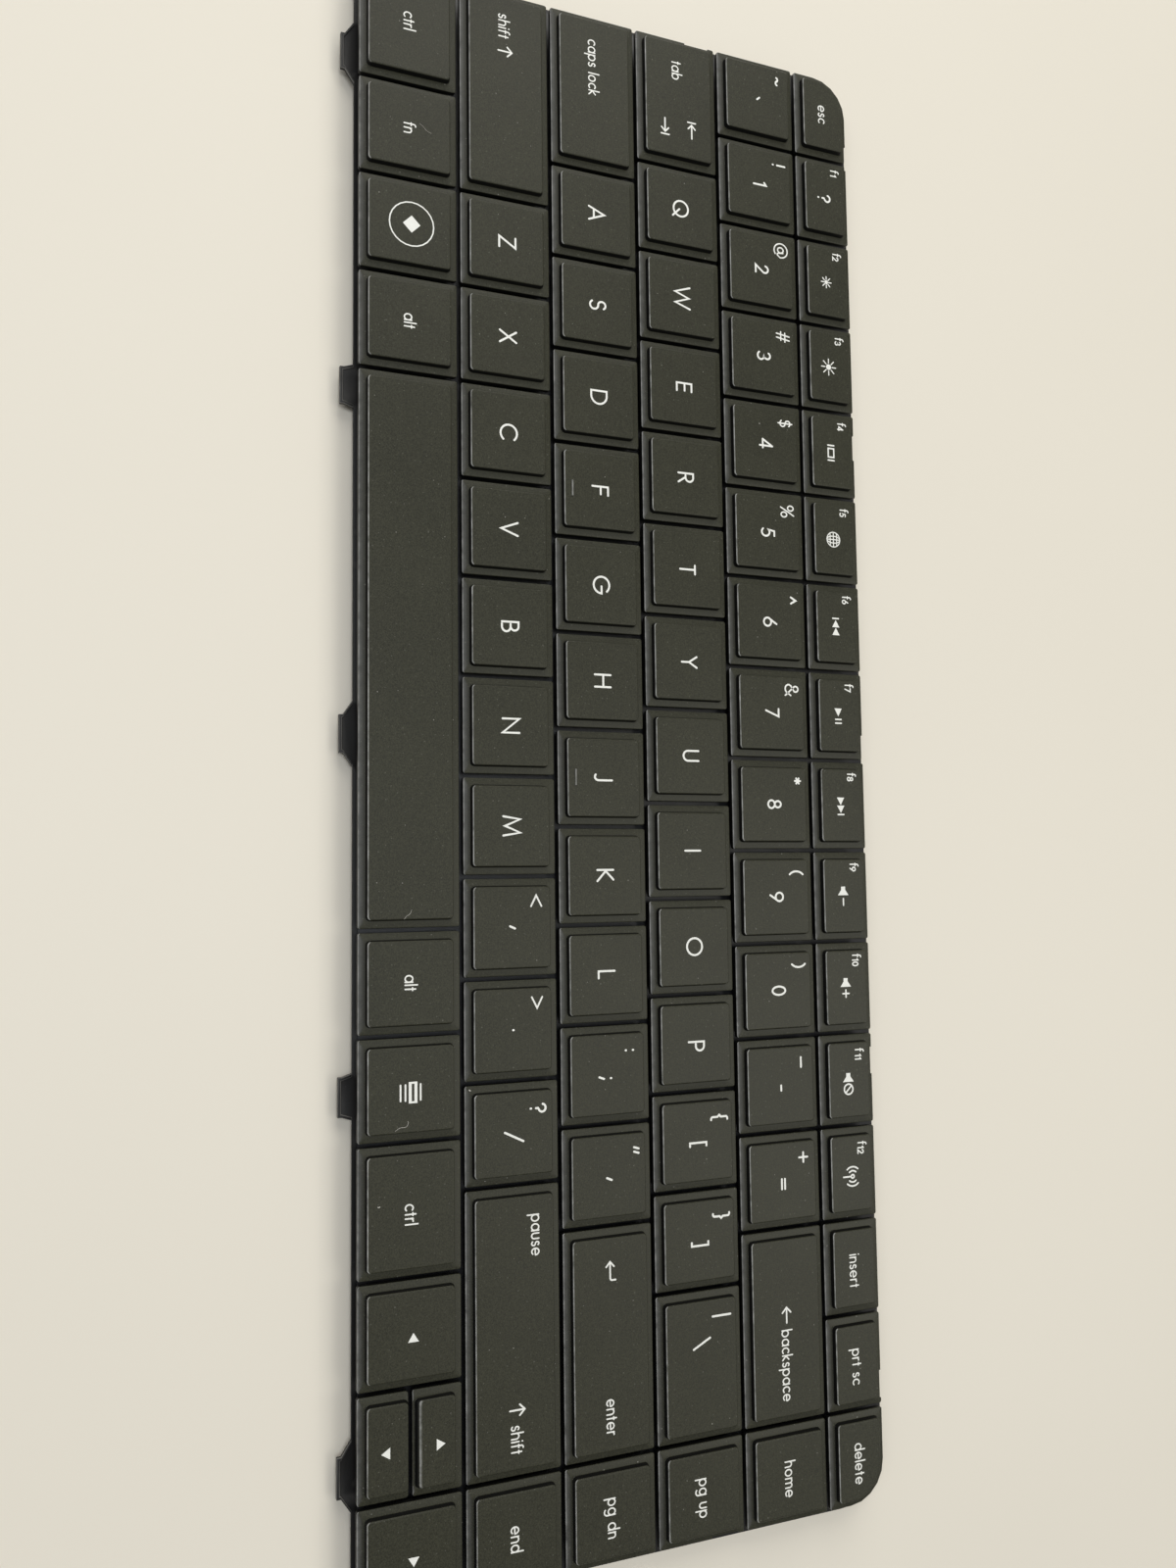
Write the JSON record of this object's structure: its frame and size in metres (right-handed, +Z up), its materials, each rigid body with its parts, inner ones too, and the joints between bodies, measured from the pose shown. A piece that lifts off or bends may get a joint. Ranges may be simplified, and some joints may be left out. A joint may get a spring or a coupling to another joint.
{
  "type": "laptop replacement keyboard",
  "caption": "Flat laptop keyboard module: two-tier dark keycaps on sprung scissor links over a membrane and a black steel plate with front tabs and screw bosses.",
  "frame": {"origin": "middle of the underside, on the plane that the four screw bosses stand on", "axes": "+X to the user's right along the key rows, +Y to the back towards the function row, +Z up out of the keycaps"},
  "size_m": [0.3084, 0.114, 0.0076],
  "materials": {
    "keycap_plastic": "fine matt texture with a slight sheen",
    "black_plate": "black paint, half gloss",
    "boss_steel": "plated",
    "switch_film": "dark printed film",
    "dome_rubber": "milky silicone",
    "link_plastic": "natural moulded plastic",
    "spring_wire": "drawn wire"
  },
  "bodies": {
    "chassis": {"base_plate": "black_plate", "mounting_bosses": "boss_steel", "membrane": "switch_film", "rubber_domes": "dome_rubber", "scissor_outer_links": "link_plastic", "scissor_inner_links": "link_plastic", "stabiliser_bars": "spring_wire", "function_row_keycaps": "keycap_plastic", "navigation_keycaps": "keycap_plastic", "modifier_keycaps": "keycap_plastic"},
    "key_space": {"keycap_space": "keycap_plastic"},
    "key_z": {"keycap_z": "keycap_plastic"},
    "key_x": {"keycap_x": "keycap_plastic"},
    "key_c": {"keycap_c": "keycap_plastic"},
    "key_v": {"keycap_v": "keycap_plastic"},
    "key_b": {"keycap_b": "keycap_plastic"},
    "key_n": {"keycap_n": "keycap_plastic"},
    "key_m": {"keycap_m": "keycap_plastic"},
    "key_comma": {"keycap_comma": "keycap_plastic"},
    "key_period": {"keycap_period": "keycap_plastic"},
    "key_slash": {"keycap_slash": "keycap_plastic"},
    "key_a": {"keycap_a": "keycap_plastic"},
    "key_s": {"keycap_s": "keycap_plastic"},
    "key_d": {"keycap_d": "keycap_plastic"},
    "key_f": {"keycap_f": "keycap_plastic"},
    "key_g": {"keycap_g": "keycap_plastic"},
    "key_h": {"keycap_h": "keycap_plastic"},
    "key_j": {"keycap_j": "keycap_plastic"},
    "key_k": {"keycap_k": "keycap_plastic"},
    "key_l": {"keycap_l": "keycap_plastic"},
    "key_semicolon": {"keycap_semicolon": "keycap_plastic"},
    "key_quote": {"keycap_quote": "keycap_plastic"},
    "key_enter": {"keycap_enter": "keycap_plastic"},
    "key_q": {"keycap_q": "keycap_plastic"},
    "key_w": {"keycap_w": "keycap_plastic"},
    "key_e": {"keycap_e": "keycap_plastic"},
    "key_r": {"keycap_r": "keycap_plastic"},
    "key_t": {"keycap_t": "keycap_plastic"},
    "key_y": {"keycap_y": "keycap_plastic"},
    "key_u": {"keycap_u": "keycap_plastic"},
    "key_i": {"keycap_i": "keycap_plastic"},
    "key_o": {"keycap_o": "keycap_plastic"},
    "key_p": {"keycap_p": "keycap_plastic"},
    "key_left_bracket": {"keycap_left_bracket": "keycap_plastic"},
    "key_right_bracket": {"keycap_right_bracket": "keycap_plastic"},
    "key_backslash": {"keycap_backslash": "keycap_plastic"},
    "key_backquote": {"keycap_backquote": "keycap_plastic"},
    "key_1": {"keycap_1": "keycap_plastic"},
    "key_2": {"keycap_2": "keycap_plastic"},
    "key_3": {"keycap_3": "keycap_plastic"},
    "key_4": {"keycap_4": "keycap_plastic"},
    "key_5": {"keycap_5": "keycap_plastic"},
    "key_6": {"keycap_6": "keycap_plastic"},
    "key_7": {"keycap_7": "keycap_plastic"},
    "key_8": {"keycap_8": "keycap_plastic"},
    "key_9": {"keycap_9": "keycap_plastic"},
    "key_0": {"keycap_0": "keycap_plastic"},
    "key_minus": {"keycap_minus": "keycap_plastic"},
    "key_equals": {"keycap_equals": "keycap_plastic"},
    "key_backspace": {"keycap_backspace": "keycap_plastic"}
  },
  "joints": [
    {"name": "press_space", "type": "slide", "parent": "chassis", "child": "key_space", "axis": [0, 0, -1], "range_m": [0, 0.0022], "stiffness_N_per_m": 200, "springref_m": -0.001, "deforming": ["rubber_domes", "scissor_outer_links", "scissor_inner_links", "stabiliser_bars"]},
    {"name": "press_z", "type": "slide", "parent": "chassis", "child": "key_z", "axis": [0, 0, -1], "range_m": [0, 0.0022], "stiffness_N_per_m": 200, "springref_m": -0.001, "deforming": ["rubber_domes", "scissor_outer_links", "scissor_inner_links", "stabiliser_bars"]},
    {"name": "press_x", "type": "slide", "parent": "chassis", "child": "key_x", "axis": [0, 0, -1], "range_m": [0, 0.0022], "stiffness_N_per_m": 200, "springref_m": -0.001, "deforming": ["rubber_domes", "scissor_outer_links", "scissor_inner_links", "stabiliser_bars"]},
    {"name": "press_c", "type": "slide", "parent": "chassis", "child": "key_c", "axis": [0, 0, -1], "range_m": [0, 0.0022], "stiffness_N_per_m": 200, "springref_m": -0.001, "deforming": ["rubber_domes", "scissor_outer_links", "scissor_inner_links", "stabiliser_bars"]},
    {"name": "press_v", "type": "slide", "parent": "chassis", "child": "key_v", "axis": [0, 0, -1], "range_m": [0, 0.0022], "stiffness_N_per_m": 200, "springref_m": -0.001, "deforming": ["rubber_domes", "scissor_outer_links", "scissor_inner_links", "stabiliser_bars"]},
    {"name": "press_b", "type": "slide", "parent": "chassis", "child": "key_b", "axis": [0, 0, -1], "range_m": [0, 0.0022], "stiffness_N_per_m": 200, "springref_m": -0.001, "deforming": ["rubber_domes", "scissor_outer_links", "scissor_inner_links", "stabiliser_bars"]},
    {"name": "press_n", "type": "slide", "parent": "chassis", "child": "key_n", "axis": [0, 0, -1], "range_m": [0, 0.0022], "stiffness_N_per_m": 200, "springref_m": -0.001, "deforming": ["rubber_domes", "scissor_outer_links", "scissor_inner_links", "stabiliser_bars"]},
    {"name": "press_m", "type": "slide", "parent": "chassis", "child": "key_m", "axis": [0, 0, -1], "range_m": [0, 0.0022], "stiffness_N_per_m": 200, "springref_m": -0.001, "deforming": ["rubber_domes", "scissor_outer_links", "scissor_inner_links", "stabiliser_bars"]},
    {"name": "press_comma", "type": "slide", "parent": "chassis", "child": "key_comma", "axis": [0, 0, -1], "range_m": [0, 0.0022], "stiffness_N_per_m": 200, "springref_m": -0.001, "deforming": ["rubber_domes", "scissor_outer_links", "scissor_inner_links", "stabiliser_bars"]},
    {"name": "press_period", "type": "slide", "parent": "chassis", "child": "key_period", "axis": [0, 0, -1], "range_m": [0, 0.0022], "stiffness_N_per_m": 200, "springref_m": -0.001, "deforming": ["rubber_domes", "scissor_outer_links", "scissor_inner_links", "stabiliser_bars"]},
    {"name": "press_slash", "type": "slide", "parent": "chassis", "child": "key_slash", "axis": [0, 0, -1], "range_m": [0, 0.0022], "stiffness_N_per_m": 200, "springref_m": -0.001, "deforming": ["rubber_domes", "scissor_outer_links", "scissor_inner_links", "stabiliser_bars"]},
    {"name": "press_a", "type": "slide", "parent": "chassis", "child": "key_a", "axis": [0, 0, -1], "range_m": [0, 0.0022], "stiffness_N_per_m": 200, "springref_m": -0.001, "deforming": ["rubber_domes", "scissor_outer_links", "scissor_inner_links", "stabiliser_bars"]},
    {"name": "press_s", "type": "slide", "parent": "chassis", "child": "key_s", "axis": [0, 0, -1], "range_m": [0, 0.0022], "stiffness_N_per_m": 200, "springref_m": -0.001, "deforming": ["rubber_domes", "scissor_outer_links", "scissor_inner_links", "stabiliser_bars"]},
    {"name": "press_d", "type": "slide", "parent": "chassis", "child": "key_d", "axis": [0, 0, -1], "range_m": [0, 0.0022], "stiffness_N_per_m": 200, "springref_m": -0.001, "deforming": ["rubber_domes", "scissor_outer_links", "scissor_inner_links", "stabiliser_bars"]},
    {"name": "press_f", "type": "slide", "parent": "chassis", "child": "key_f", "axis": [0, 0, -1], "range_m": [0, 0.0022], "stiffness_N_per_m": 200, "springref_m": -0.001, "deforming": ["rubber_domes", "scissor_outer_links", "scissor_inner_links", "stabiliser_bars"]},
    {"name": "press_g", "type": "slide", "parent": "chassis", "child": "key_g", "axis": [0, 0, -1], "range_m": [0, 0.0022], "stiffness_N_per_m": 200, "springref_m": -0.001, "deforming": ["rubber_domes", "scissor_outer_links", "scissor_inner_links", "stabiliser_bars"]},
    {"name": "press_h", "type": "slide", "parent": "chassis", "child": "key_h", "axis": [0, 0, -1], "range_m": [0, 0.0022], "stiffness_N_per_m": 200, "springref_m": -0.001, "deforming": ["rubber_domes", "scissor_outer_links", "scissor_inner_links", "stabiliser_bars"]},
    {"name": "press_j", "type": "slide", "parent": "chassis", "child": "key_j", "axis": [0, 0, -1], "range_m": [0, 0.0022], "stiffness_N_per_m": 200, "springref_m": -0.001, "deforming": ["rubber_domes", "scissor_outer_links", "scissor_inner_links", "stabiliser_bars"]},
    {"name": "press_k", "type": "slide", "parent": "chassis", "child": "key_k", "axis": [0, 0, -1], "range_m": [0, 0.0022], "stiffness_N_per_m": 200, "springref_m": -0.001, "deforming": ["rubber_domes", "scissor_outer_links", "scissor_inner_links", "stabiliser_bars"]},
    {"name": "press_l", "type": "slide", "parent": "chassis", "child": "key_l", "axis": [0, 0, -1], "range_m": [0, 0.0022], "stiffness_N_per_m": 200, "springref_m": -0.001, "deforming": ["rubber_domes", "scissor_outer_links", "scissor_inner_links", "stabiliser_bars"]},
    {"name": "press_semicolon", "type": "slide", "parent": "chassis", "child": "key_semicolon", "axis": [0, 0, -1], "range_m": [0, 0.0022], "stiffness_N_per_m": 200, "springref_m": -0.001, "deforming": ["rubber_domes", "scissor_outer_links", "scissor_inner_links", "stabiliser_bars"]},
    {"name": "press_quote", "type": "slide", "parent": "chassis", "child": "key_quote", "axis": [0, 0, -1], "range_m": [0, 0.0022], "stiffness_N_per_m": 200, "springref_m": -0.001, "deforming": ["rubber_domes", "scissor_outer_links", "scissor_inner_links", "stabiliser_bars"]},
    {"name": "press_enter", "type": "slide", "parent": "chassis", "child": "key_enter", "axis": [0, 0, -1], "range_m": [0, 0.0022], "stiffness_N_per_m": 200, "springref_m": -0.001, "deforming": ["rubber_domes", "scissor_outer_links", "scissor_inner_links", "stabiliser_bars"]},
    {"name": "press_q", "type": "slide", "parent": "chassis", "child": "key_q", "axis": [0, 0, -1], "range_m": [0, 0.0022], "stiffness_N_per_m": 200, "springref_m": -0.001, "deforming": ["rubber_domes", "scissor_outer_links", "scissor_inner_links", "stabiliser_bars"]},
    {"name": "press_w", "type": "slide", "parent": "chassis", "child": "key_w", "axis": [0, 0, -1], "range_m": [0, 0.0022], "stiffness_N_per_m": 200, "springref_m": -0.001, "deforming": ["rubber_domes", "scissor_outer_links", "scissor_inner_links", "stabiliser_bars"]},
    {"name": "press_e", "type": "slide", "parent": "chassis", "child": "key_e", "axis": [0, 0, -1], "range_m": [0, 0.0022], "stiffness_N_per_m": 200, "springref_m": -0.001, "deforming": ["rubber_domes", "scissor_outer_links", "scissor_inner_links", "stabiliser_bars"]},
    {"name": "press_r", "type": "slide", "parent": "chassis", "child": "key_r", "axis": [0, 0, -1], "range_m": [0, 0.0022], "stiffness_N_per_m": 200, "springref_m": -0.001, "deforming": ["rubber_domes", "scissor_outer_links", "scissor_inner_links", "stabiliser_bars"]},
    {"name": "press_t", "type": "slide", "parent": "chassis", "child": "key_t", "axis": [0, 0, -1], "range_m": [0, 0.0022], "stiffness_N_per_m": 200, "springref_m": -0.001, "deforming": ["rubber_domes", "scissor_outer_links", "scissor_inner_links", "stabiliser_bars"]},
    {"name": "press_y", "type": "slide", "parent": "chassis", "child": "key_y", "axis": [0, 0, -1], "range_m": [0, 0.0022], "stiffness_N_per_m": 200, "springref_m": -0.001, "deforming": ["rubber_domes", "scissor_outer_links", "scissor_inner_links", "stabiliser_bars"]},
    {"name": "press_u", "type": "slide", "parent": "chassis", "child": "key_u", "axis": [0, 0, -1], "range_m": [0, 0.0022], "stiffness_N_per_m": 200, "springref_m": -0.001, "deforming": ["rubber_domes", "scissor_outer_links", "scissor_inner_links", "stabiliser_bars"]},
    {"name": "press_i", "type": "slide", "parent": "chassis", "child": "key_i", "axis": [0, 0, -1], "range_m": [0, 0.0022], "stiffness_N_per_m": 200, "springref_m": -0.001, "deforming": ["rubber_domes", "scissor_outer_links", "scissor_inner_links", "stabiliser_bars"]},
    {"name": "press_o", "type": "slide", "parent": "chassis", "child": "key_o", "axis": [0, 0, -1], "range_m": [0, 0.0022], "stiffness_N_per_m": 200, "springref_m": -0.001, "deforming": ["rubber_domes", "scissor_outer_links", "scissor_inner_links", "stabiliser_bars"]},
    {"name": "press_p", "type": "slide", "parent": "chassis", "child": "key_p", "axis": [0, 0, -1], "range_m": [0, 0.0022], "stiffness_N_per_m": 200, "springref_m": -0.001, "deforming": ["rubber_domes", "scissor_outer_links", "scissor_inner_links", "stabiliser_bars"]},
    {"name": "press_left_bracket", "type": "slide", "parent": "chassis", "child": "key_left_bracket", "axis": [0, 0, -1], "range_m": [0, 0.0022], "stiffness_N_per_m": 200, "springref_m": -0.001, "deforming": ["rubber_domes", "scissor_outer_links", "scissor_inner_links", "stabiliser_bars"]},
    {"name": "press_right_bracket", "type": "slide", "parent": "chassis", "child": "key_right_bracket", "axis": [0, 0, -1], "range_m": [0, 0.0022], "stiffness_N_per_m": 200, "springref_m": -0.001, "deforming": ["rubber_domes", "scissor_outer_links", "scissor_inner_links", "stabiliser_bars"]},
    {"name": "press_backslash", "type": "slide", "parent": "chassis", "child": "key_backslash", "axis": [0, 0, -1], "range_m": [0, 0.0022], "stiffness_N_per_m": 200, "springref_m": -0.001, "deforming": ["rubber_domes", "scissor_outer_links", "scissor_inner_links", "stabiliser_bars"]},
    {"name": "press_backquote", "type": "slide", "parent": "chassis", "child": "key_backquote", "axis": [0, 0, -1], "range_m": [0, 0.0022], "stiffness_N_per_m": 200, "springref_m": -0.001, "deforming": ["rubber_domes", "scissor_outer_links", "scissor_inner_links", "stabiliser_bars"]},
    {"name": "press_1", "type": "slide", "parent": "chassis", "child": "key_1", "axis": [0, 0, -1], "range_m": [0, 0.0022], "stiffness_N_per_m": 200, "springref_m": -0.001, "deforming": ["rubber_domes", "scissor_outer_links", "scissor_inner_links", "stabiliser_bars"]},
    {"name": "press_2", "type": "slide", "parent": "chassis", "child": "key_2", "axis": [0, 0, -1], "range_m": [0, 0.0022], "stiffness_N_per_m": 200, "springref_m": -0.001, "deforming": ["rubber_domes", "scissor_outer_links", "scissor_inner_links", "stabiliser_bars"]},
    {"name": "press_3", "type": "slide", "parent": "chassis", "child": "key_3", "axis": [0, 0, -1], "range_m": [0, 0.0022], "stiffness_N_per_m": 200, "springref_m": -0.001, "deforming": ["rubber_domes", "scissor_outer_links", "scissor_inner_links", "stabiliser_bars"]},
    {"name": "press_4", "type": "slide", "parent": "chassis", "child": "key_4", "axis": [0, 0, -1], "range_m": [0, 0.0022], "stiffness_N_per_m": 200, "springref_m": -0.001, "deforming": ["rubber_domes", "scissor_outer_links", "scissor_inner_links", "stabiliser_bars"]},
    {"name": "press_5", "type": "slide", "parent": "chassis", "child": "key_5", "axis": [0, 0, -1], "range_m": [0, 0.0022], "stiffness_N_per_m": 200, "springref_m": -0.001, "deforming": ["rubber_domes", "scissor_outer_links", "scissor_inner_links", "stabiliser_bars"]},
    {"name": "press_6", "type": "slide", "parent": "chassis", "child": "key_6", "axis": [0, 0, -1], "range_m": [0, 0.0022], "stiffness_N_per_m": 200, "springref_m": -0.001, "deforming": ["rubber_domes", "scissor_outer_links", "scissor_inner_links", "stabiliser_bars"]},
    {"name": "press_7", "type": "slide", "parent": "chassis", "child": "key_7", "axis": [0, 0, -1], "range_m": [0, 0.0022], "stiffness_N_per_m": 200, "springref_m": -0.001, "deforming": ["rubber_domes", "scissor_outer_links", "scissor_inner_links", "stabiliser_bars"]},
    {"name": "press_8", "type": "slide", "parent": "chassis", "child": "key_8", "axis": [0, 0, -1], "range_m": [0, 0.0022], "stiffness_N_per_m": 200, "springref_m": -0.001, "deforming": ["rubber_domes", "scissor_outer_links", "scissor_inner_links", "stabiliser_bars"]},
    {"name": "press_9", "type": "slide", "parent": "chassis", "child": "key_9", "axis": [0, 0, -1], "range_m": [0, 0.0022], "stiffness_N_per_m": 200, "springref_m": -0.001, "deforming": ["rubber_domes", "scissor_outer_links", "scissor_inner_links", "stabiliser_bars"]},
    {"name": "press_0", "type": "slide", "parent": "chassis", "child": "key_0", "axis": [0, 0, -1], "range_m": [0, 0.0022], "stiffness_N_per_m": 200, "springref_m": -0.001, "deforming": ["rubber_domes", "scissor_outer_links", "scissor_inner_links", "stabiliser_bars"]},
    {"name": "press_minus", "type": "slide", "parent": "chassis", "child": "key_minus", "axis": [0, 0, -1], "range_m": [0, 0.0022], "stiffness_N_per_m": 200, "springref_m": -0.001, "deforming": ["rubber_domes", "scissor_outer_links", "scissor_inner_links", "stabiliser_bars"]},
    {"name": "press_equals", "type": "slide", "parent": "chassis", "child": "key_equals", "axis": [0, 0, -1], "range_m": [0, 0.0022], "stiffness_N_per_m": 200, "springref_m": -0.001, "deforming": ["rubber_domes", "scissor_outer_links", "scissor_inner_links", "stabiliser_bars"]},
    {"name": "press_backspace", "type": "slide", "parent": "chassis", "child": "key_backspace", "axis": [0, 0, -1], "range_m": [0, 0.0022], "stiffness_N_per_m": 200, "springref_m": -0.001, "deforming": ["rubber_domes", "scissor_outer_links", "scissor_inner_links", "stabiliser_bars"]}
  ]
}
